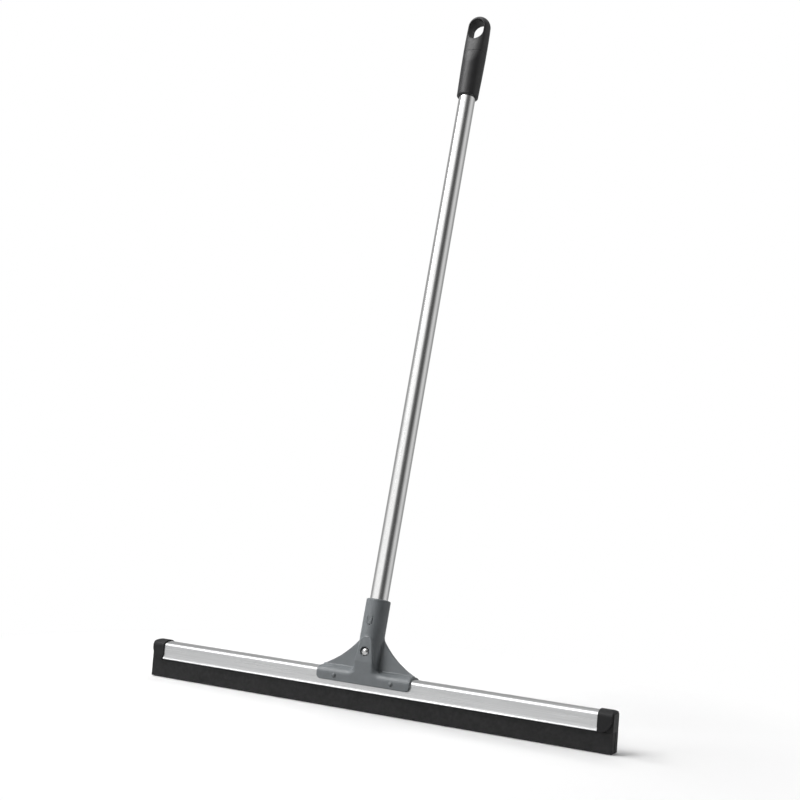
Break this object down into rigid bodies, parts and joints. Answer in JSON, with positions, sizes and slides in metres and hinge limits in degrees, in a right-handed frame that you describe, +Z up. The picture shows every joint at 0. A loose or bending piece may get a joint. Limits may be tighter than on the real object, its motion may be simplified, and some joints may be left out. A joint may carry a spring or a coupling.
{
  "type": "floor squeegee",
  "caption": "Floor squeegee with twin rubber blades in an aluminium channel, moulded grey holder, leaning steel handle held by a snap button, and black grip with a hanging eye.",
  "frame": {"origin": "on the floor plane, under the middle of the head, between the two blade tips", "axes": "+X along the head to its right end seen from the front, +Y to the rear, towards which the handle leans, +Z up"},
  "size_m": [0.7, 0.2305, 1.0191],
  "materials": {
    "channel": "satin, drawn lengthwise",
    "blade_rubber": "matt cellular rubber",
    "spreader": "plain moulded strip",
    "cap_plastic": "fine moulded grain",
    "holder_plastic": "fine moulded grain",
    "rivet_paint": "grey coat on the dome heads",
    "washer_steel": "bright washers",
    "tube_steel": "polished along the tube",
    "grip_plastic": "satin moulded grip",
    "button_steel": "bright dome",
    "spring_steel": "rolled spring strip"
  },
  "bodies": {
    "squeegee": {"channel": "channel", "front_blade": "blade_rubber", "rear_blade": "blade_rubber", "blade_spreader": "spreader", "left_end_cap": "cap_plastic", "right_end_cap": "cap_plastic", "holder": "holder_plastic", "left_rivet": "rivet_paint", "right_rivet": "rivet_paint", "rivet_washers": "washer_steel", "handle_tube": "tube_steel", "hand_grip": "grip_plastic", "button_spring": "spring_steel"},
    "button": {"snap_button": "button_steel"}
  },
  "joints": [
    {"name": "button_press", "type": "slide", "parent": "squeegee", "child": "button", "axis": [0, 0.9781, -0.2079], "range_m": [0, 0.0047], "stiffness_N_per_m": 800, "springref_m": -0.006, "deforming": ["button_spring"]}
  ]
}
